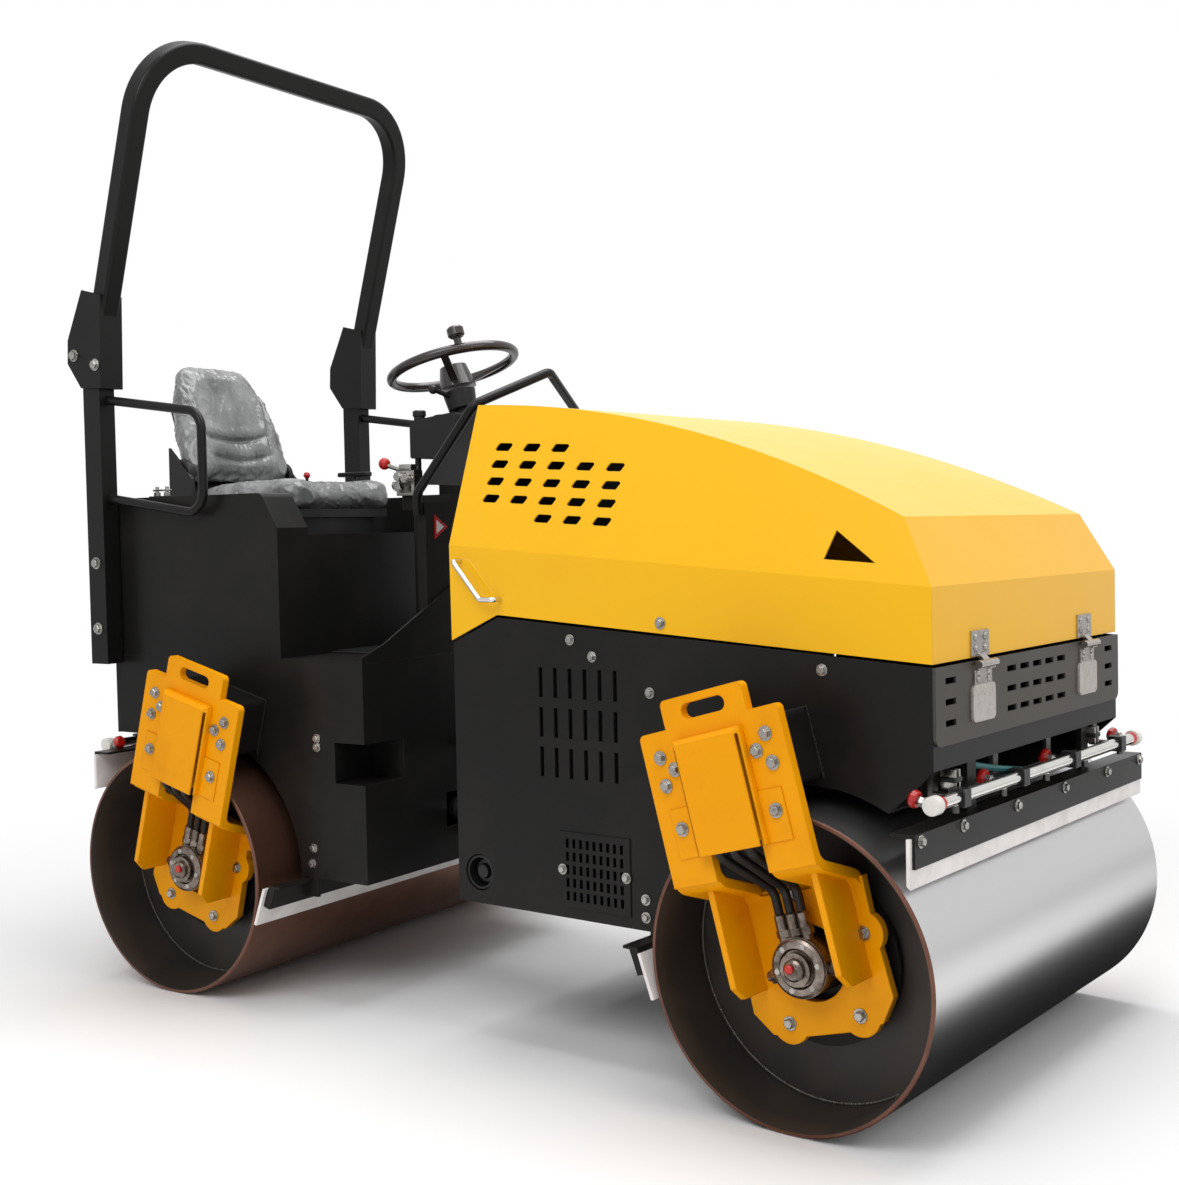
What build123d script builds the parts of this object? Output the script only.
from build123d import *
import math
import os

# Articulated tandem vibratory roller, all sizes in millimetres and degrees.
# Vehicle frame: X forward, Y to the left, Z up, ground at Z = 0, steering pivot at X = Y = 0.
# The front frame stands square to X; the rear frame is built square and then turned by REST_STEER.

# ------------------------------------------------------------------ drums and wheelbase
DRUM_R = 310
DRUM_WIDTH = 1200
DRUM_WALL = 16
WEB_T = 14
WEB_INSET = 160
WEB_FACE = DRUM_WIDTH / 2 - WEB_INSET
HUB_R = 52
HUB_STAND = 5
FRONT_AXLE_X = 1032
REAR_AXLE_X = -797
REST_STEER = 4.7
RUN_GAP = 6
PIN_GAP = 0.4

# ------------------------------------------------------------------ frames
BODY_HALF = 482
SIDE_T = 10
ENGINE_BACK = 220
ENGINE_GAP = 41
ENGINE_HALF = 240
ENGINE_TOP = 960
FAN_DEEP = 60
SHEET_T = 6
BODY_FLOOR = 311
ARCH_GAP = 35
FRONT_REAR_X = 90
FRONT_NOSE_X = 1287
NOSE_RISE = 80
NOSE_FLOOR = 2 * DRUM_R + NOSE_RISE
REAR_FRONT_X = -235
REAR_TAIL_X = -1115
TAIL_RISE = 20
TAIL_FLOOR = 2 * DRUM_R + TAIL_RISE
DECK_Z = 850
WALL_T = 12
LOUVRE = (394, 586, 336, 503)
LOUVRE_T = 3
LOUVRE_SLOT = (8, 20)

# ------------------------------------------------------------------ hood
HOOD_T = 4
HOOD_REAR_LOW = (85, 914)
HOOD_NOTCH = (225, 975)
HOOD_NOSE_LOW = 900
HOOD_CREASE_REAR = (83, 1134)
HOOD_CREASE_NOSE = 1044
HOOD_TOP_REAR = (104, 1458)
HOOD_TOP_MID = (660, 1378)
HOOD_TOP_NOSE = (1217, 1175)
HOOD_SIDE_SLOPE = 0.272
SEAM = 6
GRILLE_RISE = 45
GRILLE_LOW = NOSE_FLOOR + GRILLE_RISE
GRILLE_SLOT = (45, 12)
HOOD_SLOT = (50, 18)
HINGE_Y = 277
HINGE_LEAF = 80
HINGE_R = 8
HINGE_OUT = 12

# ------------------------------------------------------------------ drum carriers
# The carrier plate is drawn square to its own centre line, which leans towards the pivot.
# u runs away from the pivot, v up the plate from the drum axis, w out from the middle of the machine.
LEAN = 15
PLATE_T = 20
PLATE_GAP = 18
PLATE_FACE = DRUM_WIDTH / 2 + PLATE_GAP + PLATE_T
PLATE_MID = -15
PLATE_HALF = 165
PLATE_TOP = 503
PLATE_LOW = 196
EAR_HALF = 98
EAR_TOP = 560
EAR_SLOT = (103, 30)
EAR_SLOT_V = 529
RING_T = 10
BUFFER_LEN = 19
INNER_FACE = WEB_FACE + HUB_STAND + RUN_GAP + RING_T + BUFFER_LEN + PLATE_T
INNER_TOP = 150
BEND_R = 34
WINDOW = (120, 118)
BOLT_R = 137
LOBE_R = 42
MOTOR_HOLE_R = 76
RIB_AT = 120
RIB_T = 14
RIB_DEPTH = 106
COVER_HALF = 79
COVER_FLANGE = 132
COVER_LOW = 250
COVER_TOP = 478
COVER_RISE = 26
COVER_T = 3
ARM_HALF = 118
ARM_LOW = DRUM_R + ARCH_GAP
ARM_TOP = 485
MOTOR_R = 60
MOTOR_STAND = 46
MOTOR_OUT = INNER_FACE + MOTOR_STAND
SHAFT_R = 20
RING_R = 172
BUFFER_R = 28
HOSE_R = 9
PORT_GAP = 26
PORT_REACH = 72
PORT_FACE = MOTOR_OUT - 17

# ------------------------------------------------------------------ scrapers and spray bars
SCRAPER_HALF = DRUM_WIDTH / 2
SCRAPER_T = 6
SCRAPER_BACK = 42
SCRAPER_DROP = 16
SCRAPER_X = DRUM_R - SCRAPER_BACK
SCRAPER_TOP = 2 * DRUM_R - SCRAPER_DROP
HANGER_BACK = 32
HANGER_X = SCRAPER_X - HANGER_BACK
BLADE_T = 8
SPRAY_R = 13
SPRAY_INSET = 80
SPRAY_HALF = DRUM_WIDTH / 2 - SPRAY_INSET
CLAMP_INSET = 100
NOZZLE_INSET = 80
FRONT_SPRAY = (DRUM_R - 32, 2 * DRUM_R + 28)
REAR_SPRAY = (DRUM_R - 10, 2 * DRUM_R - 8)
BEAM = (70, 60)

# ------------------------------------------------------------------ steering joint
HUB_PIN_R = 24
KNUCKLE_R = 56
KNUCKLE_Z = (402, 598)
FORK_T = 24
FORK_R = 62
ROLL_Z = 500
ROLL_R = 48
ROLL_HOUSING_R = 84
LUG_ARM = 130
LUG_BACK = 30
CYL_Z = 446
CYL_ANCHOR = (-436, -100)
CYL_R = 30
ROD_R = 15
EYE_R = 27
EYE_T = 30
BARREL_LEN = 176
ROD_INSIDE = 92

# ------------------------------------------------------------------ operator's station
HOUSING_FRONT = -503
HOUSING_TOP = 1272
HOUSING_DECK = 1165
ARMREST_IN = 372
CONSOLE_HALF = 218
CONSOLE_BACK = -290
CONSOLE_FACE = -241
CONSOLE_TOP = 1240
SHELF = (-415, 110, 1262)
DASH_Z = (1361, 1461, 1478)
DASH_BACK = -400
DASH_HALF = 80
GUARD_FOOT = 1208
STEP_SIZE = (96, 148, 100)
STEP_Z = 554
SEAT_HALF = 225
SEAT_BACK_X = -1090
SEAT_FRONT_X = -690
CUSHION_Z = (1236, 1305)
BACKREST_MID = (-1172, 1508)
BACKREST_LEAN = 17.5
BACKREST_HALF = (205, 132)
BACKREST_SIZE = (80, 346)
WHEEL_R = 180
WHEEL_RIM_R = 13
WHEEL_AT = (-311, 1604)
WHEEL_TILT = 15

# ------------------------------------------------------------------ roll-over frame
POST_X = (-1142, -1078)
POST_GAP = 8
POST_WIDE = 50
POST_Y = (BODY_HALF + POST_GAP, BODY_HALF + POST_GAP + POST_WIDE)
POST_Z = (830, 1630)
HOOP_TUBE = (56, 54)
HOOP_OUT = (POST_Y[0] + POST_Y[1] + HOOP_TUBE[0]) / 2
CHEEK_GAP = 6
HOOP_BASE = (-1095, 1700)
HOOP_LEAN = 15.8
HOOP_RISE = 811
HOOP_BEND_R = 214
CHEEK_T = 6
FOLD_AT = (-1158, 1655)
RAIL_R = 12
RAIL_OUT = 30
RAIL_Y = BODY_HALF + RAIL_OUT


# ------------------------------------------------------------------ helpers
def cloud(points, axis, at):
    """Lift 2-D points to 3-D on the plane axis = at, the two values kept in X, Y, Z order."""
    lift = {
        "x": lambda a, b: Vector(at, a, b),
        "y": lambda a, b: Vector(a, at, b),
        "z": lambda a, b: Vector(a, b, at),
    }[axis]
    return [lift(a, b) for a, b in points]


def prism(points, axis, lo, hi):
    """A straight-sided plate: a polygon on the plane axis = lo, pushed to axis = hi."""
    face = Face(Wire.make_polygon(cloud(points, axis, lo), close=True))
    push = {"x": (1, 0, 0), "y": (0, 1, 0), "z": (0, 0, 1)}[axis]
    return extrude(face, amount=hi - lo, dir=push)


def block(x, y, z):
    """A box from its (low, high) pair on each axis."""
    return Pos((x[0] + x[1]) / 2, (y[0] + y[1]) / 2, (z[0] + z[1]) / 2) * Box(
        x[1] - x[0], y[1] - y[0], z[1] - z[0]
    )


def rod(start, end, radius):
    """A round bar between two points."""
    a, b = Vector(*start), Vector(*end)
    return Plane(origin=a, z_dir=b - a) * Pos(0, 0, (b - a).length / 2) * Cylinder(radius, (b - a).length)


def ring(start, end, outer, inner):
    """A round bar between two points with a bore through it."""
    a, b = Vector(*start), Vector(*end)
    over = (b - a).normalized()
    return rod(start, end, outer) - rod(tuple(a - over), tuple(b + over), inner)


def tube_run(points, bend, radius):
    """A round tube along straight runs joined by bends of one radius."""
    path = FilletPolyline(*points, radius=bend)
    section = Plane(origin=path @ 0, z_dir=path % 0) * Circle(radius)
    return sweep(section, path=path)


def both_sides(shape):
    """The shape and its mirror image across the machine's middle plane."""
    return [shape, shape.mirror(Plane.XZ)]


def pieces(shapes):
    """Flatten parts, compounds and lists to their solids."""
    if isinstance(shapes, (list, tuple, ShapeList)):
        found = []
        for item in shapes:
            found += pieces(item)
        return found
    return list(shapes.solids())


def fuse(*shapes):
    """One body out of touching shapes."""
    solids = pieces(list(shapes))
    return solids[0].fuse(*solids[1:]).clean()


def polar(radius, angle):
    """A point at a radius and an angle in degrees from the first axis."""
    return (radius * math.cos(math.radians(angle)), radius * math.sin(math.radians(angle)))


def hood_low(x):
    """Height of the hood's straight lower edge."""
    slope = (HOOD_NOSE_LOW - HOOD_NOTCH[1]) / (FRONT_NOSE_X - HOOD_NOTCH[0])
    return HOOD_NOTCH[1] + slope * (x - HOOD_NOTCH[0])


def hood_crease(x):
    """Height of the fold along the hood's side."""
    slope = (HOOD_CREASE_NOSE - HOOD_CREASE_REAR[1]) / (FRONT_NOSE_X - HOOD_CREASE_REAR[0])
    return HOOD_CREASE_REAR[1] + slope * (x - HOOD_CREASE_REAR[0])


# Placing of what repeats at both ends. An end's own frame has the drum axis along Y through the
# origin and X away from the steering pivot; the rear end is the front end turned half round.
def at_front(shape):
    """Move a piece of an end to the front drum."""
    return Pos(FRONT_AXLE_X, 0, DRUM_R) * shape


def at_rear(shape):
    """Move a piece of an end to the rear drum, still square to the vehicle frame."""
    return Pos(REAR_AXLE_X, 0, DRUM_R) * Rot(0, 0, 180) * shape


# A carrier's frame: local X, Y, Z are u, v, w on the right-hand side of an end.
CARRIER = Plane(
    origin=(0, 0, 0),
    x_dir=(math.cos(math.radians(LEAN)), 0, math.sin(math.radians(LEAN))),
    z_dir=(0, -1, 0),
)


# ------------------------------------------------------------------ drums
def drum():
    """Open-ended steel shell with two web discs and a hub bored for the motor shafts."""
    half = DRUM_WIDTH / 2
    shell = ring((0, -half, 0), (0, half, 0), DRUM_R, DRUM_R - DRUM_WALL)
    inner = DRUM_R - DRUM_WALL
    webs = [rod((0, s * (WEB_FACE - WEB_T), 0), (0, s * WEB_FACE, 0), inner) for s in (-1, 1)]
    hub_end = WEB_FACE + HUB_STAND
    hub = rod((0, -hub_end, 0), (0, hub_end, 0), HUB_R)
    bore = rod((0, -hub_end - 1, 0), (0, hub_end + 1, 0), SHAFT_R + PIN_GAP)
    return fuse(shell, webs, hub) - bore


# ------------------------------------------------------------------ drum carriers
def buffer_points():
    """The five bolt places round the motor, one straight up."""
    return [polar(BOLT_R, 90 + 72 * k) for k in range(5)]


def convex_corner(point):
    """True for the plate's outer top corners, false where the ear meets the shoulders."""
    return abs(abs(point.X - PLATE_MID) - EAR_HALF) > 1 or point.Y > PLATE_TOP + 1


def carrier_plate():
    """Outer plate with its lifting ear and slot, bent inwards below to the inner plate."""
    left, right = PLATE_MID - PLATE_HALF, PLATE_MID + PLATE_HALF
    back = PLATE_FACE - PLATE_T
    outer = prism(
        [
            (left, PLATE_LOW),
            (right, PLATE_LOW),
            (right, PLATE_TOP),
            (PLATE_MID + EAR_HALF, PLATE_TOP),
            (PLATE_MID + EAR_HALF, EAR_TOP),
            (PLATE_MID - EAR_HALF, EAR_TOP),
            (PLATE_MID - EAR_HALF, PLATE_TOP),
            (left, PLATE_TOP),
        ],
        "z",
        back,
        PLATE_FACE,
    )
    corners = outer.edges().filter_by(Axis.Z).filter_by(lambda e: e.center().Y > PLATE_TOP - 1)
    outer = outer.solid().fillet(12, corners.filter_by(lambda e: convex_corner(e.center())))
    slot = Pos(PLATE_MID, EAR_SLOT_V, back - 1) * extrude(SlotOverall(*EAR_SLOT), PLATE_T + 2)
    outer = outer - slot
    middle = PLATE_T / 2
    path = FilletPolyline(
        (left, PLATE_LOW + 60, PLATE_FACE - middle),
        (left, PLATE_LOW, PLATE_FACE - middle),
        (left, INNER_TOP, INNER_FACE - middle),
        (left, INNER_TOP - 50, INNER_FACE - middle),
        radius=BEND_R,
    )
    section = Plane(origin=path @ 0, x_dir=(1, 0, 0), z_dir=path % 0) * Pos(PLATE_HALF, 0) * Rectangle(
        2 * PLATE_HALF, PLATE_T
    )
    bend = sweep(section, path=path)
    window = block(
        (PLATE_MID - WINDOW[0] / 2, PLATE_MID + WINDOW[0] / 2),
        (INNER_TOP - 8, INNER_TOP - 8 + WINDOW[1]),
        (INNER_FACE - PLATE_T - 5, PLATE_FACE + 5),
    )
    return fuse(outer, bend) - window


def inner_plate():
    """Lobed plate round the motor with its five bolt lobes."""
    outline = [(157, INNER_TOP), (155, 85), (160, -85), (125, -130), (70, -140)]
    points = outline + [(-u, v) for u, v in reversed(outline)]
    low = INNER_FACE - PLATE_T
    plate = prism(points, "z", low, INNER_FACE)
    lobes = [Pos(u, v, INNER_FACE - PLATE_T / 2) * Cylinder(LOBE_R, PLATE_T) for u, v in buffer_points()]
    hole = Pos(0, 0, INNER_FACE - PLATE_T / 2) * Cylinder(MOTOR_HOLE_R, PLATE_T + 2)
    return fuse(plate, lobes) - hole


def carrier_ribs():
    """Two stiffening ribs that run from the bend down both sides of the motor."""
    foot = -40
    shape = [
        (foot, INNER_FACE - 1),
        (foot, INNER_FACE + RIB_DEPTH - 26),
        (foot + 26, INNER_FACE + RIB_DEPTH),
        (PLATE_LOW - 10, INNER_FACE + RIB_DEPTH),
        (INNER_TOP + 6, INNER_FACE - 1),
    ]
    return [prism(shape, "x", u - RIB_T / 2, u + RIB_T / 2) for u in (-RIB_AT, RIB_AT)]


def carrier():
    """The whole cast carrier of one drum end."""
    return CARRIER * fuse(carrier_plate(), inner_plate(), carrier_ribs())


def carrier_cover():
    """Folded sheet cover over the hose window, raised in the middle and screwed at its flanges."""
    left, right = PLATE_MID - COVER_HALF, PLATE_MID + COVER_HALF
    box = block((left, right), (COVER_LOW, COVER_TOP), (PLATE_FACE, PLATE_FACE + COVER_RISE))
    edges = box.edges().filter_by(lambda e: e.center().Z > PLATE_FACE + COVER_RISE - 1)
    box = chamfer(edges.filter_by(lambda e: e.center().Y > COVER_LOW + 1), 10)
    hollow = block(
        (left + COVER_T, right - COVER_T),
        (COVER_LOW - 1, COVER_TOP - 14),
        (PLATE_FACE - 1, PLATE_FACE + COVER_RISE - COVER_T),
    )
    flange = block(
        (PLATE_MID - COVER_FLANGE, PLATE_MID + COVER_FLANGE),
        (COVER_LOW, COVER_LOW + 100),
        (PLATE_FACE, PLATE_FACE + COVER_T),
    )
    return CARRIER * (fuse(box, flange) - hollow)


def drum_motor():
    """Hydraulic motor on its ring plate, which hangs in the inner plate by five rubber buffers."""
    ring_low = WEB_FACE + HUB_STAND + RUN_GAP
    plate = Pos(0, 0, ring_low + RING_T / 2) * Cylinder(RING_R, RING_T)
    buffer_len = INNER_FACE - PLATE_T - ring_low - RING_T
    buffers = [
        Pos(u, v, ring_low + RING_T + buffer_len / 2) * Cylinder(BUFFER_R, buffer_len)
        for u, v in buffer_points()
    ]
    body_len = MOTOR_OUT - ring_low
    body = Pos(0, 0, ring_low + body_len / 2) * Cylinder(MOTOR_R, body_len)
    neck = Pos(0, 0, MOTOR_OUT + 9) * Cylinder(MOTOR_R * 0.55, 18)
    shaft_in = WEB_FACE - WEB_T
    shaft = Pos(0, 0, (shaft_in + ring_low) / 2) * Cylinder(SHAFT_R, ring_low - shaft_in)
    ports = [
        Pos(u, PORT_REACH / 2, PORT_FACE) * Rot(-90, 0, 0) * Cylinder(HOSE_R + 3, PORT_REACH)
        for u in (-PORT_GAP, 0, PORT_GAP)
    ]
    return CARRIER * fuse(plate, buffers, body, neck, shaft, ports)


def motor_hoses():
    """Pressure hoses from behind the cover down to the motor's ports."""
    runs = []
    for u, top in ((-PORT_GAP, -50), (0, -15), (PORT_GAP, 20)):
        start = (top, COVER_LOW + 60, PLATE_FACE + HOSE_R + 2)
        knee = (top, COVER_LOW - 6, PLATE_FACE + HOSE_R + 2)
        low = (u, INNER_TOP + 2, PORT_FACE)
        end = (u, PORT_REACH, PORT_FACE)
        runs.append(tube_run([start, knee, low, end], 34, HOSE_R))
    return [CARRIER * run for run in runs]


def arm():
    """Box arm that carries the outer plate out over the drum from the frame's side plate."""
    length = PLATE_FACE - PLATE_T - BODY_HALF
    middle = (ARM_LOW + ARM_TOP) / 2
    box = Pos(0, middle, BODY_HALF + length / 2) * Box(2 * ARM_HALF, ARM_TOP - ARM_LOW, length)
    return CARRIER * fillet(box.edges().filter_by(Axis.Z), 14)


# ------------------------------------------------------------------ scrapers and spray bar
def outer_scraper(hang):
    """Scraper on the side of the drum away from the pivot: bent holder, blade and two hangers."""
    x = SCRAPER_X
    top = SCRAPER_TOP - DRUM_R
    hangers = [
        block((HANGER_X, HANGER_X + 12), (y - 20, y + 20), (top - SCRAPER_T, hang - DRUM_R))
        for y in (-300, 300)
    ]
    holder = fuse(
        block((x, x + SCRAPER_T), (-SCRAPER_HALF, SCRAPER_HALF), (top - 62, top)),
        block((x - 44, x + SCRAPER_T), (-SCRAPER_HALF, SCRAPER_HALF), (top - SCRAPER_T, top)),
        hangers,
    )
    blade = prism(
        [
            (x - BLADE_T, top - SCRAPER_T - 1),
            (x, top - SCRAPER_T - 1),
            (x, top - 98),
            (x - BLADE_T, top - 92),
        ],
        "y",
        -SCRAPER_HALF - 8,
        SCRAPER_HALF + 8,
    )
    return holder, blade


def inner_scraper():
    """Scraper on the side of the drum towards the pivot, hung from the frame's lower edge."""
    edge = -(DRUM_R + ARCH_GAP)
    drop = BODY_FLOOR - DRUM_R
    holder = prism(
        [
            (edge - 38, drop),
            (edge - 2, drop),
            (edge + 17, drop - 52),
            (edge - 2, drop - 58),
            (edge - 22, drop - SCRAPER_T),
            (edge - 38, drop - SCRAPER_T),
        ],
        "y",
        -SCRAPER_HALF,
        SCRAPER_HALF,
    )
    lug = block((edge - 53, edge + 1), (BODY_HALF - SIDE_T, BODY_HALF), (drop - 46, drop))
    lugs = both_sides(lug)
    blade = prism(
        [(edge + 4, drop - 10), (edge + 11, drop - 7), (edge + 44, drop - 98), (edge + 36, drop - 100)],
        "y",
        -SCRAPER_HALF - 8,
        SCRAPER_HALF + 8,
    )
    return fuse(holder, lugs) - blade, blade


def spray_bar(at, hang):
    """Water pipe along the drum with end caps, clamps and hanger posts."""
    x, z = at[0], at[1] - DRUM_R
    pipe = rod((x, -SPRAY_HALF, z), (x, SPRAY_HALF, z), SPRAY_R)
    caps = [rod((x, s * SPRAY_HALF, z), (x, s * (SPRAY_HALF + 22), z), SPRAY_R + 5) for s in (-1, 1)]
    clamps = []
    last = SPRAY_HALF - CLAMP_INSET
    for y in (-last, -last / 3, last / 3, last):
        clamps.append(block((x - 17, x + 17), (y - 14, y + 14), (z - 17, z + 17)))
        clamps.append(block((x - 60, x - 10), (y - 12, y + 12), (z - 5, z + 5)))
        clamps.append(block((x - 60, x - 50), (y - 12, y + 12), (z - 5, hang - DRUM_R)))
    step = (SPRAY_HALF - NOZZLE_INSET) / 2
    nozzles = [Pos(x, k * step, z - SPRAY_R - 6) * Cylinder(7, 16) for k in range(-2, 3)]
    return fuse(pipe, caps, clamps, nozzles)


# ------------------------------------------------------------------ front frame
def arch_cut(axle_x, reach):
    """Round clearance over a drum, as wide as the frame."""
    return rod((axle_x, -reach, DRUM_R), (axle_x, reach, DRUM_R), DRUM_R + ARCH_GAP)


def front_side_outline():
    """Side plate of the front frame, before the round arch is cut."""
    arch_end = FRONT_AXLE_X + polar(DRUM_R + ARCH_GAP, 62)[0]
    arch_z = DRUM_R + polar(DRUM_R + ARCH_GAP, 62)[1]
    return [
        (FRONT_REAR_X, BODY_FLOOR),
        (FRONT_AXLE_X, BODY_FLOOR),
        (arch_end, arch_z),
        (FRONT_NOSE_X, NOSE_FLOOR),
        (FRONT_NOSE_X, hood_low(FRONT_NOSE_X) - SEAM),
        (HOOD_NOTCH[0], HOOD_NOTCH[1] - SEAM),
        (FRONT_REAR_X, HOOD_REAR_LOW[1] - SEAM),
    ]


def side_vents():
    """Upright slots in the front frame's side and the windows behind its louvre plates."""
    cuts = []
    reach = (-BODY_HALF - 1, BODY_HALF + 1)
    for col in range(6):
        for row in range(3):
            x = 348 + 41 * col
            z = 828 - 88 * row
            cuts.append(block((x - 5, x + 5), reach, (z - 33, z + 33)))
    x0, x1, z0, z1 = LOUVRE
    cuts.append(block((x0 + 12, x1 - 12), reach, (z0 + 12, z1 - 12)))
    return cuts


def louvre_plate():
    """Thin cover plate on the front frame's side with rows of short upright slots."""
    x0, x1, z0, z1 = LOUVRE
    plate = block((x0, x1), (BODY_HALF, BODY_HALF + LOUVRE_T), (z0, z1))
    wide, high = LOUVRE_SLOT
    middle_x, middle_z = (x0 + x1) / 2, (z0 + z1) / 2
    cuts = []
    for col in range(-4, 5):
        for row in range(-2, 3):
            x, z = middle_x + 18.5 * col, middle_z + 29 * row
            slot = block((x - wide / 2, x + wide / 2), (BODY_HALF - 1, BODY_HALF + 9), (0, high))
            cuts.append(Pos(0, 0, z - high / 2) * slot)
    return plate.cut(*pieces(cuts))


def front_chassis():
    """Open tub: side plates, rear wall with the roll bearing, floor, drum shield and cross beams."""
    outline = front_side_outline()
    sides = [
        prism(outline, "y", -BODY_HALF, -BODY_HALF + SIDE_T),
        prism(outline, "y", BODY_HALF - SIDE_T, BODY_HALF),
    ]
    inner = BODY_HALF - SIDE_T / 2
    wall = block((FRONT_REAR_X, FRONT_REAR_X + WALL_T), (-inner, inner), (BODY_FLOOR, 900))
    floor_end = FRONT_AXLE_X - DRUM_R
    floor = block((FRONT_REAR_X, floor_end), (-inner, inner), (BODY_FLOOR, BODY_FLOOR + SHEET_T))
    housing = rod(
        (FRONT_REAR_X - 6, 0, ROLL_Z), (FRONT_REAR_X + 90, 0, ROLL_Z), ROLL_HOUSING_R
    )
    reach = DRUM_R + ARCH_GAP + SHEET_T
    shield = ring((FRONT_AXLE_X, -inner, DRUM_R), (FRONT_AXLE_X, inner, DRUM_R), reach, reach - SHEET_T)
    keep = prism(
        [(-reach, BODY_FLOOR - DRUM_R), (0, BODY_FLOOR - DRUM_R)]
        + [polar(reach * 1.6, a) for a in (62, 110, 150)],
        "y",
        -inner,
        inner,
    )
    shield = shield & (Pos(FRONT_AXLE_X, 0, DRUM_R) * keep)
    beam = block((FRONT_NOSE_X - BEAM[0], FRONT_NOSE_X), (-inner, inner), (NOSE_FLOOR, NOSE_FLOOR + BEAM[1]))
    tub = fuse(sides, wall, floor, housing, beam)
    tub = tub - arch_cut(FRONT_AXLE_X, BODY_HALF + 2)
    tub = fuse(tub, shield)
    bore = rod((FRONT_REAR_X - 10, 0, ROLL_Z), (FRONT_REAR_X + 95, 0, ROLL_Z), ROLL_R + PIN_GAP)
    port = rod((155, -BODY_HALF - 1, 382), (155, BODY_HALF + 1, 382), 42)
    return (tub - bore - port).cut(*pieces(side_vents()))


def front_grille():
    """Slotted nose panel under the hood, with the fixed hinge leaves on their wide base plates."""
    top = HOOD_NOSE_LOW - SEAM
    panel = block((FRONT_NOSE_X, FRONT_NOSE_X + SHEET_T), (-BODY_HALF, BODY_HALF), (GRILLE_LOW, top))
    corners = panel.edges().filter_by(Axis.X).filter_by(lambda e: e.center().Z < GRILLE_LOW + 1)
    panel = panel.solid().fillet(20, corners)
    wide, high = GRILLE_SLOT
    cuts = []
    for row in range(3):
        z = 866 - 40 * row
        for y in [66 * col for col in range(-2, 3)] + [-417, 417]:
            cuts.append(
                block(
                    (FRONT_NOSE_X - 1, FRONT_NOSE_X + SHEET_T + 1),
                    (y - wide / 2, y + wide / 2),
                    (z - high / 2, z + high / 2),
                )
            )
    panel = panel.cut(*pieces(cuts))
    face = FRONT_NOSE_X + SHEET_T
    leaves = []
    for y in (-HINGE_Y, HINGE_Y):
        leaf = block((face, face + 4), (y - HINGE_LEAF / 2, y + HINGE_LEAF / 2), (800, top - 16))
        base = block((face, face + 6), (y - 52, y + 52), (776, 848))
        base = base.solid().fillet(12, base.edges().filter_by(Axis.X))
        knuckles = []
        for s in (-1, 1):
            ends = tuple(sorted((y + s * HINGE_LEAF / 2, y + s * HINGE_LEAF / 6)))
            axis_x, axis_z = face + HINGE_OUT, top - 6
            knuckles.append(rod((axis_x, ends[0], axis_z), (axis_x, ends[1], axis_z), HINGE_R))
            knuckles.append(block((face, face + HINGE_OUT), ends, (top - 17, top - 8)))
        leaves.append(fuse(leaf, base, knuckles))
    return fuse(panel, leaves)


def engine_bulkhead():
    """Upright sheet wall that closes the hood's open rear."""
    x = 122
    inset = HOOD_T + 8
    top = HOOD_TOP_REAR[1] - inset - 6
    z_fold = hood_crease(x)
    half = BODY_HALF - inset
    narrow = half - HOOD_SIDE_SLOPE * (top - z_fold)
    outline = [(-half, 905), (half, 905), (half, z_fold), (narrow, top), (-narrow, top), (-half, z_fold)]
    return prism(outline, "x", x, x + SHEET_T)


def engine_block():
    """The engine with its pump, one plain mass on the frame's floor."""
    end = FRONT_AXLE_X - DRUM_R - ARCH_GAP - SHEET_T - ENGINE_GAP
    low, high = BODY_FLOOR + SHEET_T, ENGINE_TOP
    body = block((ENGINE_BACK, end), (-ENGINE_HALF, ENGINE_HALF), (low, high))
    fan = block((end, end + FAN_DEEP), (-ENGINE_HALF + 40, ENGINE_HALF - 40), (high - 400, high - 20))
    return fuse(body, fan)


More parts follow.
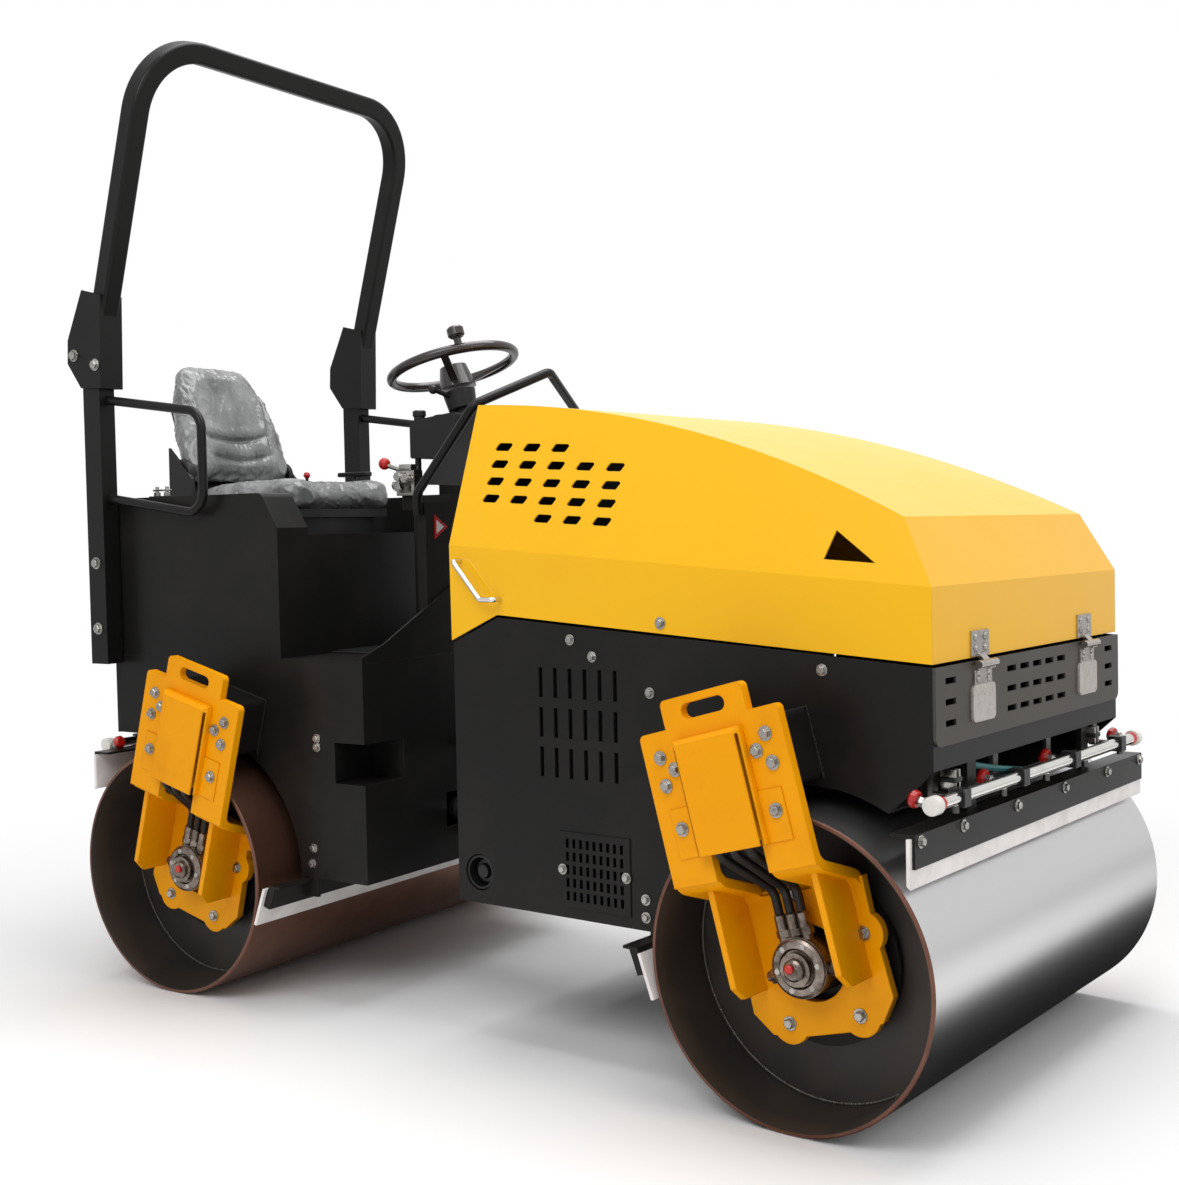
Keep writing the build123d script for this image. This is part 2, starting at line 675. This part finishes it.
# ------------------------------------------------------------------ hood
def hood_solid(inset):
    """Outer form of the hood, or the same form shrunk by a wall thickness."""
    nose_x = FRONT_NOSE_X - inset
    drop = inset
    low = [HOOD_REAR_LOW, HOOD_NOTCH, (FRONT_NOSE_X, HOOD_NOSE_LOW)]
    if inset:
        low = [(HOOD_REAR_LOW[0] - 40, 700), (nose_x, 700)]
    else:
        low = low[:2] + [(nose_x, HOOD_NOSE_LOW)]
    rear_x = HOOD_CREASE_REAR[0] - (40 if inset else 0)
    crown = ThreePointArc(
        (HOOD_TOP_REAR[0] - (40 if inset else 0), 0, HOOD_TOP_REAR[1] - drop + (4 if inset else 0)),
        (HOOD_TOP_MID[0], 0, HOOD_TOP_MID[1] - drop),
        (HOOD_TOP_NOSE[0] - inset / 2, 0, HOOD_TOP_NOSE[1] - drop),
    )
    loop = [(HOOD_TOP_NOSE[0] - inset / 2, HOOD_TOP_NOSE[1] - drop), (nose_x, HOOD_CREASE_NOSE - inset / 2)]
    loop += list(reversed(low))
    loop += [(rear_x, HOOD_CREASE_REAR[1])]
    loop += [(HOOD_TOP_REAR[0] - (40 if inset else 0), HOOD_TOP_REAR[1] - drop + (4 if inset else 0))]
    lines = Polyline(*[(x, 0, z) for x, z in loop])
    face = Face(Wire([*crown.edges(), *lines.edges()]))
    half = BODY_HALF - inset
    body = extrude(face, amount=half, dir=(0, 1, 0), both=True)
    # trim each side above the crease to one flat leaning panel
    slope = math.atan(HOOD_SIDE_SLOPE)
    fall = math.atan((HOOD_CREASE_REAR[1] - HOOD_CREASE_NOSE) / (FRONT_NOSE_X - HOOD_CREASE_REAR[0]))
    along = Vector(math.cos(fall), 0, -math.sin(fall))
    for side in (-1, 1):
        origin = Vector(HOOD_CREASE_REAR[0], side * half, HOOD_CREASE_REAR[1] - inset * math.tan(slope / 2))
        lean_up = Vector(0, -side * math.sin(slope), math.cos(slope))
        normal = along.cross(lean_up)
        if normal.Y * side < 0:
            normal = normal * -1
        plane = Plane(origin=origin, x_dir=along, z_dir=normal)
        body = body - plane * Pos(600, 0, 250) * Box(3000, 3000, 500)
    return body


def hood_vents():
    """Leaning slots in the hood's upper sides and the three-cornered air opening near the nose."""
    # height and first column's X for each row, with the columns that are cut
    rows = [
        (1355, 203, range(0, 3)),
        (1316, 198, range(0, 5)),
        (1277, 193, range(0, 5)),
        (1238, 188, range(0, 5)),
        (1199, 183, range(2, 5)),
    ]
    wide, high = HOOD_SLOT
    lean = high * math.tan(math.radians(20))
    nip = 4
    outline = [
        (-wide / 2 + nip, -high / 2),
        (wide / 2 - lean - nip, -high / 2),
        (wide / 2 - lean, -high / 2 + nip),
        (wide / 2, high / 2 - nip),
        (wide / 2 - nip, high / 2),
        (-wide / 2 + lean + nip, high / 2),
        (-wide / 2 + lean, high / 2 - nip),
        (-wide / 2, -high / 2 + nip),
    ]
    cuts = []
    for z, x0, columns in rows:
        for k in columns:
            at = Pos(x0 + 82 * k, 0, z - 5 * k) * Rot(0, 3.5, 0)
            cuts.append(at * prism(outline, "y", -BODY_HALF - 20, BODY_HALF + 20))
    nose = prism([(1078, 1152), (1057, 1096), (1168, 1088)], "y", -BODY_HALF - 20, BODY_HALF + 20)
    return cuts + [nose]


def hood():
    """Folded sheet hood, open below and behind."""
    shell = hood_solid(0) - hood_solid(HOOD_T)
    return shell.cut(*pieces(hood_vents()))


def hood_hardware():
    """Grab handles at the rear corners and the moving hinge leaves."""
    y = BODY_HALF + 26
    handles = []
    for side in (-1, 1):
        run = [
            (117, side * BODY_HALF, 1097),
            (117, side * y, 1097),
            (196, side * y, 1010),
            (236, side * y, 1010),
            (236, side * BODY_HALF, 1010),
        ]
        handles.append(tube_run(run, 8, 6))
    axis_x = FRONT_NOSE_X + HINGE_OUT + SHEET_T
    axis_z = HOOD_NOSE_LOW - SEAM - 6
    leaves = []
    for y0 in (-HINGE_Y, HINGE_Y):
        leaf = block(
            (FRONT_NOSE_X, FRONT_NOSE_X + 4),
            (y0 - HINGE_LEAF / 2, y0 + HINGE_LEAF / 2),
            (HOOD_NOSE_LOW + 2, HOOD_NOSE_LOW + 52),
        )
        third = HINGE_LEAF / 6 - PIN_GAP
        barrel = rod((axis_x, y0 - third, axis_z), (axis_x, y0 + third, axis_z), HINGE_R)
        strap = prism(
            [
                (FRONT_NOSE_X, HOOD_NOSE_LOW + 10),
                (FRONT_NOSE_X + 4, HOOD_NOSE_LOW + 10),
                (axis_x + 6, axis_z + 2),
                (axis_x - 2, axis_z - 2),
                (FRONT_NOSE_X, HOOD_NOSE_LOW + 4),
            ],
            "y",
            y0 - third,
            y0 + third,
        )
        leaves.append(fuse(leaf, barrel, strap))
    return handles, leaves


# ------------------------------------------------------------------ steering joint
def knuckle():
    """Hub on the upright pin, roll journal forward into the front frame and the steering lug."""
    hub = rod((0, 0, KNUCKLE_Z[0]), (0, 0, KNUCKLE_Z[1]), KNUCKLE_R)
    pin = rod((0, 0, KNUCKLE_Z[0] - 40), (0, 0, KNUCKLE_Z[1] + 40), HUB_PIN_R)
    journal = rod((20, 0, ROLL_Z), (FRONT_REAR_X + 90, 0, ROLL_Z), ROLL_R)
    flange = rod((FRONT_REAR_X - 32, 0, ROLL_Z), (FRONT_REAR_X - 12, 0, ROLL_Z), ROLL_R + 22)
    bx, by = lug_point()
    lug = prism(
        [(-48, -10), (10, -48), (bx + 26, by - 8), (bx - 22, by + 18)],
        "z",
        CYL_Z + EYE_T / 2 + RUN_GAP,
        CYL_Z + EYE_T / 2 + RUN_GAP + 22,
    )
    tip = Pos(bx, by, CYL_Z + EYE_T / 2 + RUN_GAP + 11) * Cylinder(EYE_R, 22)
    return fuse(hub, pin, journal, flange, lug, tip)


def lug_point():
    """Where the steering rod meets the knuckle's lug, in the front frame."""
    return (-LUG_ARM * math.sin(math.radians(LUG_BACK)), -LUG_ARM * math.cos(math.radians(LUG_BACK)))


def lug_in_rear():
    """The same place seen from the rear frame at rest."""
    x, y = lug_point()
    c, s = math.cos(math.radians(REST_STEER)), math.sin(math.radians(REST_STEER))
    return (x * c + y * s, -x * s + y * c)


def steering_cylinder():
    """Barrel from its anchor in the rear frame and the rod that reaches the knuckle's lug."""
    ax, ay = CYL_ANCHOR
    bx, by = lug_in_rear()
    reach = Vector(bx - ax, by - ay, 0)
    way = reach.normalized()
    anchor, tip = Vector(ax, ay, CYL_Z), Vector(bx, by, CYL_Z)
    eye = ring(tuple(anchor - Vector(0, 0, EYE_T / 2)), tuple(anchor + Vector(0, 0, EYE_T / 2)), EYE_R, 12.4)
    body_start = anchor + way * (EYE_R - 3)
    body_end = body_start + way * BARREL_LEN
    body = rod(tuple(body_start), tuple(body_end), CYL_R)
    gland = rod(tuple(body_end - way * 14), tuple(body_end), CYL_R + 4)
    bore = rod(tuple(body_start + way * 16), tuple(body_end + way), ROD_R + PIN_GAP)
    barrel = fuse(eye, body, gland) - bore
    shaft = rod(tuple(body_end - way * ROD_INSIDE), tuple(tip - way * (EYE_R - 4)), ROD_R)
    head = rod(tuple(tip - Vector(0, 0, EYE_T / 2)), tuple(tip + Vector(0, 0, EYE_T / 2)), EYE_R)
    return barrel, fuse(shaft, head)


# ------------------------------------------------------------------ rear frame
def rear_side_outline():
    """Side plate of the rear frame, before the round arch is cut."""
    return [
        (REAR_FRONT_X, BODY_FLOOR),
        (REAR_AXLE_X, BODY_FLOOR),
        (REAR_AXLE_X, DRUM_R + DRUM_R + ARCH_GAP),
        (REAR_TAIL_X, TAIL_FLOOR),
        (REAR_TAIL_X, DECK_Z),
        (REAR_FRONT_X, DECK_Z),
    ]


def fork(z):
    """Lug plate that reaches forward from the rear frame to the steering pin."""
    plate = prism([(REAR_FRONT_X, -110), (0, -FORK_R), (0, FORK_R), (REAR_FRONT_X, 110)], "z", z, z + FORK_T)
    eye = rod((0, 0, z), (0, 0, z + FORK_T), FORK_R)
    bore = rod((0, 0, z - 1), (0, 0, z + FORK_T + 1), HUB_PIN_R + PIN_GAP)
    return fuse(plate, eye) - bore


def rear_chassis():
    """Sheet box over the rear drum: side plates, walls, deck, drum shield, forks and step recesses."""
    outline = rear_side_outline()
    inner = BODY_HALF - SIDE_T / 2
    sides = [
        prism(outline, "y", -BODY_HALF, -BODY_HALF + SIDE_T),
        prism(outline, "y", BODY_HALF - SIDE_T, BODY_HALF),
    ]
    front = block((REAR_FRONT_X - WALL_T, REAR_FRONT_X), (-inner, inner), (BODY_FLOOR, DECK_Z))
    window = block((REAR_FRONT_X - WALL_T - 1, REAR_FRONT_X + 1), (-170, -38), (CYL_Z - 45, CYL_Z + 45))
    floor_end = REAR_AXLE_X + DRUM_R
    floor = block((floor_end, REAR_FRONT_X), (-inner, inner), (BODY_FLOOR, BODY_FLOOR + SHEET_T))
    tail = fuse(
        block((REAR_TAIL_X, REAR_TAIL_X + SHEET_T), (-inner, inner), (TAIL_FLOOR, DECK_Z)),
        block((REAR_TAIL_X, REAR_TAIL_X + BEAM[0] + 15), (-inner, inner), (TAIL_FLOOR, TAIL_FLOOR + BEAM[1])),
    )
    box = fuse(sides, front - window, floor, tail) - arch_cut(REAR_AXLE_X, BODY_HALF + 2)
    reach = DRUM_R + ARCH_GAP + SHEET_T
    shield = ring((REAR_AXLE_X, -inner, DRUM_R), (REAR_AXLE_X, inner, DRUM_R), reach, reach - SHEET_T)
    keep = prism(
        [(reach, BODY_FLOOR - DRUM_R), (0, BODY_FLOOR - DRUM_R)]
        + [polar(reach * 1.6, a) for a in (130, 90, 45)],
        "y",
        -inner,
        inner,
    )
    shield = shield & (Pos(REAR_AXLE_X, 0, DRUM_R) * keep)
    forks = [fork(KNUCKLE_Z[0] - RUN_GAP - FORK_T), fork(KNUCKLE_Z[1] + RUN_GAP)]
    ax, ay = CYL_ANCHOR
    lugs = []
    for z in (CYL_Z - EYE_T / 2 - RUN_GAP - 14, CYL_Z + EYE_T / 2 + RUN_GAP):
        lugs.append(block((ax - EYE_R - RUN_GAP - 8, ax + 20), (ay - 30, ay + 30), (z, z + 14)))
    back = ax - EYE_R - RUN_GAP
    post = block((back - 16, back), (ay - 30, ay + 30), (BODY_FLOOR + 2, CYL_Z + 60))
    post = post - arch_cut(REAR_AXLE_X, BODY_HALF)
    pin = rod((ax, ay, CYL_Z - EYE_T / 2 - RUN_GAP - 18), (ax, ay, CYL_Z + EYE_T / 2 + RUN_GAP + 18), 12)
    box = fuse(box, shield, forks, lugs, post, pin)
    dx, dy, dz = STEP_SIZE
    for side in (-1, 1):
        recess = block(
            (REAR_FRONT_X - dx, REAR_FRONT_X + 1),
            tuple(sorted((side * (BODY_HALF + 1), side * (BODY_HALF - dy)))),
            (STEP_Z, STEP_Z + dz),
        )
        liner = block(
            (REAR_FRONT_X - dx - SHEET_T, REAR_FRONT_X),
            tuple(sorted((side * (BODY_HALF - SIDE_T / 2), side * (BODY_HALF - dy - SHEET_T)))),
            (STEP_Z - SHEET_T, STEP_Z + dz + SHEET_T),
        )
        box = fuse(box, liner) - recess
    return box


def deck():
    """Foot plate in front of the seat housing and the sloping kick panels beside the console."""
    inner = BODY_HALF
    plate = block((HOUSING_FRONT, REAR_FRONT_X), (-inner, inner), (DECK_Z, DECK_Z + SHEET_T))
    kicks = []
    for side in (-1, 1):
        outline = [
            (side * BODY_HALF, DECK_Z),
            (side * BODY_HALF, DECK_Z + 14),
            (side * 400, DECK_Z + 42),
            (side * 60, DECK_Z + 205),
            (side * 60, DECK_Z),
        ]
        kicks.append(prism(outline, "x", REAR_FRONT_X - SHEET_T, REAR_FRONT_X))
    return fuse(plate, kicks)


def seat_housing():
    """Sheet box under and beside the seat, open below, with sloped arm boxes."""
    t = SHEET_T
    arm_outline = [
        (REAR_TAIL_X, DECK_Z),
        (REAR_TAIL_X, HOUSING_TOP),
        (HOUSING_FRONT - 54, HOUSING_TOP),
        (HOUSING_FRONT, HOUSING_DECK + 18),
        (HOUSING_FRONT, DECK_Z),
    ]
    arms = []
    for side in (-1, 1):
        arms.append(prism(arm_outline, "y", *sorted((side * BODY_HALF, side * ARMREST_IN))))
    middle = block((REAR_TAIL_X, HOUSING_FRONT), (-BODY_HALF, BODY_HALF), (DECK_Z, HOUSING_DECK))
    solid = fuse(arms, middle)
    rounding = solid.edges().filter_by(Axis.Y).filter_by(
        lambda e: e.center().Z > HOUSING_TOP - 1 and e.center().X > HOUSING_FRONT - 60
    )
    solid = solid.fillet(24, rounding)
    hollow_arms = []
    for side in (-1, 1):
        shape = [
            (REAR_TAIL_X + t, DECK_Z - 1),
            (REAR_TAIL_X + t, HOUSING_TOP - t),
            (HOUSING_FRONT - 60, HOUSING_TOP - t),
            (HOUSING_FRONT - t, HOUSING_DECK + 14),
            (HOUSING_FRONT - t, DECK_Z - 1),
        ]
        hollow_arms.append(prism(shape, "y", *sorted((side * (BODY_HALF - t), side * (ARMREST_IN + t)))))
    hollow = block(
        (REAR_TAIL_X + t, HOUSING_FRONT - t),
        (-BODY_HALF + t, BODY_HALF - t),
        (DECK_Z - 1, HOUSING_DECK - t),
    )
    return solid - fuse(hollow_arms, hollow)


def console():
    """Upright box in front of the driver, the shelf on top of it and the dash's black foot."""
    body = block((CONSOLE_BACK, CONSOLE_FACE), (-CONSOLE_HALF, CONSOLE_HALF), (DECK_Z + SHEET_T, CONSOLE_TOP))
    side_edges = body.edges().filter_by(Axis.Z).filter_by(lambda e: e.center().X < CONSOLE_BACK + 1)
    body = fillet(side_edges, 20)
    back, half, top = SHELF
    shelf = block((back, CONSOLE_FACE), (-half, half), (CONSOLE_TOP - 16, top))
    corners = shelf.edges().filter_by(Axis.Z).filter_by(lambda e: e.center().X < back + 1)
    shelf = shelf.solid().fillet(16, corners)
    neck = block((-332, -262), (-46, 46), (top - 1, DASH_Z[0]))
    return fuse(body, shelf, neck)


def dash():
    """Instrument box on its foot and two thin legs, higher towards the front."""
    low, rear, front = DASH_Z
    outline = [(DASH_BACK, low), (CONSOLE_FACE - 4, low), (CONSOLE_FACE - 4, front), (DASH_BACK, rear)]
    body = prism(outline, "y", -DASH_HALF, DASH_HALF)
    body = body.solid().fillet(7, body.edges().filter_by(Axis.Y))
    legs = [block((-392, -380), tuple(sorted((s * 58, s * 70))), (SHELF[2], low + 2)) for s in (-1, 1)]
    return fuse(body, legs)


def dash_hoop():
    """Bent tube guard in front of the dash with its sheet infill."""
    y = CONSOLE_HALF + RAIL_R + 1
    knee, rise = GUARD_FOOT + 56, 1478
    run = [
        (-256, -y, GUARD_FOOT),
        (-256, -y, knee),
        (-68, -y, rise),
        (0, 0, 1569),
        (-68, y, rise),
        (-256, y, knee),
        (-256, y, GUARD_FOOT),
    ]
    tube = tube_run(run, 34, RAIL_R)
    feet = [
        block((-264, -248), tuple(sorted((s * CONSOLE_HALF, s * y))), (GUARD_FOOT + 4, GUARD_FOOT + 24))
        for s in (-1, 1)
    ]
    tube = fuse(tube, feet)
    corners = [(-234, s * y, knee + 23) for s in (-1, 1)] + [(-68, s * y, rise) for s in (1, -1)]
    face = Face(Wire.make_polygon([Vector(*c) for c in corners], close=True))
    panel = extrude(face, amount=4) - tube
    largest = max(pieces(panel), key=lambda solid: solid.volume)
    return tube, largest


def steering_column():
    """Column, its rubber boot under the wheel and the small stalk, square to the wheel's plane."""
    cx, cz = WHEEL_AT
    s, c = math.sin(math.radians(WHEEL_TILT)), math.cos(math.radians(WHEEL_TILT))

    def down(d):
        return (cx + s * d, 0, cz - c * d)

    shaft = rod(down(150), down(80), 18)
    boot = Plane(origin=down(118), z_dir=(-s, 0, c)) * Pos(0, 0, 24) * Cone(38, 44, 48)
    tip = (cx + 4, -92, cz - 66)
    stalk = rod(down(96), tip, 6)
    knob = Pos(*tip) * Rot(0, 0, 200) * Sphere(12)
    return fuse(shaft, boot, stalk, knob)


def steering_wheel():
    """Rim, three spokes that drop to a deep hub, and the spinner knob on its short stem."""
    ring_r = WHEEL_R - WHEEL_RIM_R
    rim = revolve(Plane.XZ * Pos(ring_r, 0) * Circle(WHEEL_RIM_R), Axis.Z)
    hub = Pos(0, 0, -30) * Cone(50, 36, 60)
    bar = prism([(30, -54), (30, -42), (ring_r, 4), (ring_r, -5)], "y", -10, 10)
    spokes = [Rot(0, 0, 60 + 120 * k) * bar for k in range(3)]
    knob_at = polar(ring_r, 315)
    stem = Pos(knob_at[0], knob_at[1], WHEEL_RIM_R + 8) * Box(14, 14, 28)
    knob = Pos(knob_at[0], knob_at[1], 44) * Cylinder(22, 28)
    knob = chamfer(knob.edges().filter_by(GeomType.CIRCLE), 5)
    s, c = math.sin(math.radians(WHEEL_TILT)), math.cos(math.radians(WHEEL_TILT))
    plane = Plane(origin=(WHEEL_AT[0], 0, WHEEL_AT[1]), x_dir=(c, 0, s), z_dir=(-s, 0, c))
    return plane * fuse(rim, hub, spokes, stem, knob)


def seat():
    """Seat base with the shell behind the backrest, the cushion and the backrest."""
    low, top = CUSHION_Z
    thick, height = BACKREST_SIZE
    mid_x, mid_z = BACKREST_MID
    lean = Pos(mid_x, 0, mid_z) * Rot(0, -BACKREST_LEAN, 0)
    wide, narrow = BACKREST_HALF
    shape = [(-wide, -height / 2), (wide, -height / 2), (narrow, height / 2), (-narrow, height / 2)]
    back = prism(shape, "x", -thick / 2, thick / 2)
    back = back.solid().fillet(46, back.edges().filter_by(lambda e: abs(e.tangent_at(0.5).X) > 0.9))
    back = lean * back.solid().fillet(18, back.edges().filter_by(lambda e: abs(e.tangent_at(0.5).X) < 0.1))
    cushion = block((SEAT_BACK_X, SEAT_FRONT_X), (-SEAT_HALF, SEAT_HALF), CUSHION_Z)
    cushion = cushion.solid().fillet(50, cushion.edges().filter_by(Axis.Z))
    cushion = cushion.solid().fillet(18, cushion.edges().filter_by(lambda e: abs(e.tangent_at(0.5).Z) < 0.1))
    plinth = block((SEAT_BACK_X + 60, SEAT_FRONT_X - 60), (-170, 170), (HOUSING_DECK, low - 22))
    tray = block((SEAT_BACK_X - 76, SEAT_FRONT_X - 30), (-195, 195), (low - 24, low))
    shell = lean * block((-thick / 2 - 14, -thick / 2), (-150, 150), (-height / 2 - 96, 40))
    outline = [(-1178, low - 24), (-1078, low - 24), (-1086, 1330), (-1176, 1420)]
    shields = both_sides(prism(outline, "y", 207, 217))
    bridges = both_sides(block((-1166, -1096), (190, 212), (low - 24, low - 2)))
    shell = shell - block((-1400, 0), (-400, 400), (1000, low - 24))
    return fuse(plinth, tray, shell, shields, bridges) - back - cushion, cushion, back


def levers():
    """Travel lever, almost level, on its bracket at the right of the dash."""
    base = SHELF[2]
    foot = block((-410, -350), (-128, -92), (base, base + 66))
    foot = foot - block((-400, -360), (-140, -99), (base + 8, base + 54))
    stick = rod((-384, -104, base + 60), (-466, -101, 1346), 6)
    ball = Pos(-473, -100, 1350) * Rot(0, 0, 70) * Sphere(16)
    return fuse(foot, stick, ball)


def handrail():
    """Bent tube guard at the seat's side, welded to the roll-over post."""
    x0, x1 = POST_X[1] - 2, -728
    run = [
        (x0, -RAIL_Y, 1534),
        (x1, -RAIL_Y, 1484),
        (x1, -RAIL_Y, 1222),
        (x0, -RAIL_Y, 1272),
    ]
    return tube_run(run, 52, RAIL_R) - block(POST_X, (-POST_Y[1], -POST_Y[0]), POST_Z)


def rops_post():
    """Fixed lower post bolted to the frame's side, with its rear fold ear."""
    post = block(POST_X, (-POST_Y[1], -POST_Y[0]), POST_Z)
    foot = block((POST_X[0] + 6, POST_X[1] - 6), (-POST_Y[0], -BODY_HALF), (DECK_Z + 10, 1240))
    fx, fz = FOLD_AT
    mid = (POST_Y[0] + POST_Y[1]) / 2
    ear = fuse(
        block((fx, POST_X[0] + 4), (-mid - 20, -mid + 20), (fz - 60, fz + 16)),
        rod((fx, -mid - 20, fz), (fx, -mid + 20, fz), 24),
    )
    bore = rod((fx, -mid - 30, fz), (fx, -mid + 30, fz), 10 + PIN_GAP)
    return fuse(post, foot, ear) - bore


def rops_hoop():
    """Folding upper hoop of square tube with its two U-shaped fold brackets and pins."""
    s, c = math.sin(math.radians(HOOP_LEAN)), math.cos(math.radians(HOOP_LEAN))
    in_plane, depth = HOOP_TUBE
    half = HOOP_OUT - in_plane / 2
    base_x, base_z = HOOP_BASE
    rise = HOOP_RISE - in_plane / 2
    top = (base_x + rise * s, base_z + rise * c)
    path = FilletPolyline(
        (base_x, -half, base_z),
        (top[0], -half, top[1]),
        (top[0], half, top[1]),
        (base_x, half, base_z),
        radius=HOOP_BEND_R - in_plane / 2,
    )
    section = Plane(origin=path @ 0, x_dir=(0, 1, 0), z_dir=path % 0) * RectangleRounded(in_plane, depth, 9)
    hoop = sweep(section, path=path)
    cheek = [(-1122, 1826), (-1050, 1808), (-1057, 1563), (-1135, 1567), (-1186, 1635), (-1183, 1697)]
    fx, fz = FOLD_AT
    brackets = []
    for side in (-1, 1):
        outer = (side * (POST_Y[1] + CHEEK_GAP), side * (POST_Y[1] + CHEEK_GAP + CHEEK_T))
        inner = (side * (POST_Y[0] - CHEEK_GAP), side * (POST_Y[0] - CHEEK_GAP - CHEEK_T))
        for pair in (outer, inner):
            brackets.append(prism(cheek, "y", *sorted(pair)))
        front = [(-1050, 1808), (-1057, 1563), (-1057 - CHEEK_T, 1563), (-1050 - CHEEK_T, 1808)]
        brackets.append(prism(front, "y", *sorted((outer[1], inner[1]))))
        packer = [(-1114, 1800), (-1060, 1786), (-1062, 1722), (-1114, 1722)]
        brackets.append(prism(packer, "y", *sorted((outer[0], inner[0]))))
        brackets.append(rod((fx, outer[1], fz), (fx, inner[1], fz), 10))
    return fuse(hoop, brackets)


# ------------------------------------------------------------------ assembly
def end_nodes(name, place, spray_at, hang):
    """All that hangs on one drum end, by node name."""
    outer_holder, outer_blade = outer_scraper(hang)
    inner_holder, inner_blade = inner_scraper()
    right, left = both_sides(carrier())
    # the rear end is turned half round, so its sides change over
    if name == "rear":
        right, left = left, right
    nodes = {
        f"{name}_carrier_right": right,
        f"{name}_carrier_left": left,
        f"{name}_carrier_covers": both_sides(carrier_cover()),
        f"{name}_motors": both_sides(drum_motor()),
        f"{name}_hoses": [both_sides(run) for run in motor_hoses()],
        f"{name}_scraper_holders": [outer_holder, inner_holder],
        f"{name}_scraper_blades": [outer_blade, inner_blade],
        f"{name}_spray_bar": spray_bar(spray_at, hang),
        f"{name}_carrier_arms": both_sides(arm()),
        f"{name}_drum": drum(),
    }
    return {key: [place(solid) for solid in pieces(value)] for key, value in nodes.items()}


def build():
    """Every node as a list of solids in the vehicle frame."""
    nodes = {
        "front_chassis": front_chassis(),
        "front_grille": front_grille(),
        "side_louvres": both_sides(louvre_plate()),
        "engine_bulkhead": engine_bulkhead(),
        "engine_block": engine_block(),
        "hood": hood(),
    }
    handles, leaves = hood_hardware()
    nodes["hood_handles"] = handles
    nodes["hood_hinges"] = leaves
    nodes["steering_knuckle"] = knuckle()
    nodes.update(end_nodes("front", at_front, FRONT_SPRAY, NOSE_FLOOR))

    barrel, piston_rod = steering_cylinder()
    seat_base, cushion, backrest = seat()
    hoop_tube, hoop_panel = dash_hoop()
    rear = {
        "rear_chassis": rear_chassis(),
        "deck": deck(),
        "seat_housing": seat_housing(),
        "console": console(),
        "dash": dash(),
        "dash_guard": hoop_tube,
        "dash_guard_panel": hoop_panel,
        "steering_column": steering_column() - dash(),
        "steering_wheel": steering_wheel(),
        "travel_lever": levers(),
        "seat_base": seat_base,
        "seat_cushion": cushion,
        "seat_backrest": backrest,
        "handrails": both_sides(handrail()),
        "rops_posts": both_sides(rops_post()),
        "rops_hoop": rops_hoop(),
        "cylinder_barrel": barrel,
        "cylinder_rod": piston_rod,
    }
    rear.update(end_nodes("rear", at_rear, REAR_SPRAY, TAIL_FLOOR))
    turn = Rot(0, 0, REST_STEER)
    nodes.update({name: [turn * solid for solid in pieces(shape)] for name, shape in rear.items()})
    return {name: pieces(shape) for name, shape in nodes.items()}


def main():
    """Centre the machine over its own footprint and write one file per node."""
    os.makedirs("parts", exist_ok=True)
    nodes = build()
    boxes = [solid.bounding_box() for solids in nodes.values() for solid in solids]
    low = [min(b.min.X for b in boxes), min(b.min.Y for b in boxes), min(b.min.Z for b in boxes)]
    high = [max(b.max.X for b in boxes), max(b.max.Y for b in boxes), max(b.max.Z for b in boxes)]
    shift = Pos(-(low[0] + high[0]) / 2, -(low[1] + high[1]) / 2, -low[2])
    print("shift", shift.position, "low", low, "high", high)
    for name, solids in nodes.items():
        placed = [shift * solid for solid in solids]
        export_step(placed[0] if len(placed) == 1 else Compound(children=placed), f"parts/{name}.step")


main()
